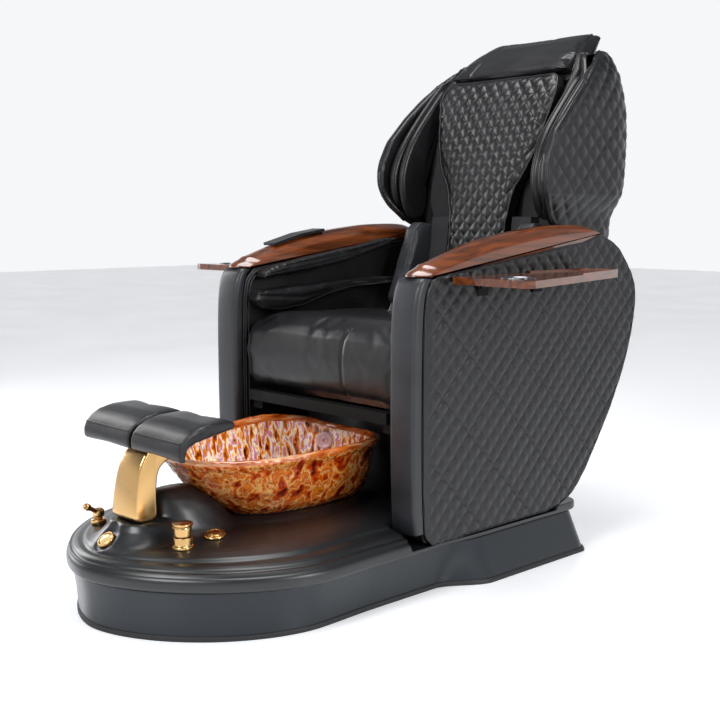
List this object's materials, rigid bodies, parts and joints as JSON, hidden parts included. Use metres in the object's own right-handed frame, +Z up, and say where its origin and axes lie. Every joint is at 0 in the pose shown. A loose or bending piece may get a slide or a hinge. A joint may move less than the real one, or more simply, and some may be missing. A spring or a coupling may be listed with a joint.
{
  "type": "pedicure spa chair",
  "caption": "Reclining pedicure spa chair: quilted leather seat with winged back and arms, fold-down wooden trays, and a glass foot bowl with footrest on a moulded base.",
  "frame": {"origin": "centre of the underside of the base, on the floor", "axes": "+Z up; the sitter faces -Y, so the foot bowl is on the -Y side; +X is the sitter's left"},
  "size_m": [1.18, 1.5634, 1.349],
  "materials": {
    "painted_steel": "satin",
    "skirt_plastic": "gloss",
    "black_rubber": "matte",
    "deck_plastic": "gloss",
    "amber_glass": "gloss",
    "gold": "satin",
    "pipe_plastic": "matte",
    "motor_plastic": "matte",
    "jet_plastic": "gloss",
    "lens_plastic": "gloss",
    "black_leather": "satin",
    "grey_leather": "satin",
    "panel_plastic": "satin",
    "plywood": "matte",
    "walnut": "gloss",
    "polished_steel": "gloss",
    "foam": "matte",
    "roller_rubber": "matte"
  },
  "bodies": {
    "base": {"floor_pan": "painted_steel", "seat_stand": "painted_steel", "tray_brackets": "painted_steel", "skirt": "skirt_plastic", "kick_trim": "black_rubber", "bowl_gasket": "black_rubber", "deck": "deck_plastic", "bowl": "amber_glass", "drain_strainer": "gold", "footrest_post": "gold", "footrest_pin": "gold", "faucet_base": "gold", "sprayer_holder": "gold", "button_bezels": "gold", "mixing_valve": "gold", "drain_pipe": "pipe_plastic", "jet_motor": "motor_plastic", "power_box": "motor_plastic", "jet_cap": "jet_plastic", "arm_linings": "black_leather", "left_arm_panel": "black_leather", "right_arm_panel": "black_leather", "left_arm_bags": "black_leather", "right_arm_bags": "black_leather", "left_arm_band": "grey_leather", "right_arm_band": "grey_leather", "fascia_panel": "panel_plastic", "rear_panel": "panel_plastic", "control_panel": "panel_plastic", "arm_frames": "plywood", "left_arm_top": "walnut", "right_arm_top": "walnut", "tray_pins": "polished_steel"},
    "drain_plug": {"drain_plug": "gold"},
    "jet_impeller": {"jet_impeller": "motor_plastic"},
    "footrest": {"footrest_bracket": "gold", "left_foot_pad": "black_leather", "right_foot_pad": "black_leather"},
    "faucet_handle": {"faucet_handle": "gold"},
    "hand_sprayer": {"hand_sprayer": "gold"},
    "air_button": {"air_button": "gold"},
    "nose_button": {"nose_button": "lens_plastic"},
    "left_tray": {"left_tray": "walnut", "left_cup_ring": "polished_steel"},
    "right_tray": {"right_tray": "walnut", "right_cup_ring": "polished_steel"},
    "seat": {"seat_carriage": "painted_steel", "seat_cushion": "black_leather", "recline_motor": "motor_plastic"},
    "back": {"back_frame": "painted_steel", "back_shell": "black_leather", "back_core": "foam", "back_pad": "black_leather", "headrest": "black_leather", "left_wing_pads": "black_leather", "right_wing_pads": "black_leather", "lumbar_bags": "grey_leather"},
    "recline_rod": {"recline_rod": "polished_steel"},
    "massage_carriage": {"massage_carriage": "painted_steel"},
    "massage_rollers": {"massage_rollers": "roller_rubber"}
  },
  "joints": [
    {"name": "drain_plug_lift", "type": "slide", "parent": "base", "child": "drain_plug", "axis": [0, 0, 1], "range_m": [0, 0.009]},
    {"name": "jet_spin", "type": "hinge", "parent": "base", "child": "jet_impeller", "pos_m": [-0.087, 0.137, 0.284], "axis": [0.5995, -0.7813, 0.1736], "continuous": true},
    {"name": "footrest_tilt", "type": "hinge", "parent": "base", "child": "footrest", "pos_m": [0, -0.43, 0.366], "axis": [1, 0, 0], "range_deg": [-12, 6]},
    {"name": "faucet_turn", "type": "hinge", "parent": "base", "child": "faucet_handle", "pos_m": [0.137, -0.456, 0.185], "axis": [0, 0, 1], "range_deg": [-60, 60]},
    {"name": "sprayer_lift", "type": "slide", "parent": "base", "child": "hand_sprayer", "axis": [0, 0, 1], "range_m": [0, 0.1]},
    {"name": "air_button_press", "type": "slide", "parent": "base", "child": "air_button", "axis": [-0.1387, 0.1309, -0.9816], "range_m": [0, 0.004], "stiffness_N_per_m": 800, "springref_m": -0.002},
    {"name": "nose_button_press", "type": "slide", "parent": "base", "child": "nose_button", "axis": [0, 0.6157, -0.788], "range_m": [0, 0.004], "stiffness_N_per_m": 800, "springref_m": -0.002},
    {"name": "left_tray_fold", "type": "hinge", "parent": "base", "child": "left_tray", "pos_m": [0.369, 0.3, 0.697], "axis": [0, 1, 0], "range_deg": [0, 88]},
    {"name": "right_tray_fold", "type": "hinge", "parent": "base", "child": "right_tray", "pos_m": [-0.369, 0.3, 0.697], "axis": [0, -1, 0], "range_deg": [0, 88]},
    {"name": "seat_slide", "type": "slide", "parent": "base", "child": "seat", "axis": [0, -1, 0], "range_m": [0, 0.1]},
    {"name": "back_recline", "type": "hinge", "parent": "seat", "child": "back", "pos_m": [0, 0.56, 0.44], "axis": [-1, 0, 0], "range_deg": [0, 20]},
    {"name": "recline_rod_slide", "type": "slide", "parent": "seat", "child": "recline_rod", "axis": [0, -1, 0], "range_m": [0, 0.034]},
    {"name": "massage_lift", "type": "slide", "parent": "back", "child": "massage_carriage", "axis": [0, 0.1442, 0.9896], "range_m": [-0.12, 0.18]},
    {"name": "roller_spin", "type": "hinge", "parent": "massage_carriage", "child": "massage_rollers", "pos_m": [0, 0.67946, 0.76], "axis": [1, 0, 0], "continuous": true}
  ],
  "couplings": [
    {"joint": "recline_rod_slide", "follows": "back_recline", "m_per_rad": 0.092}
  ]
}
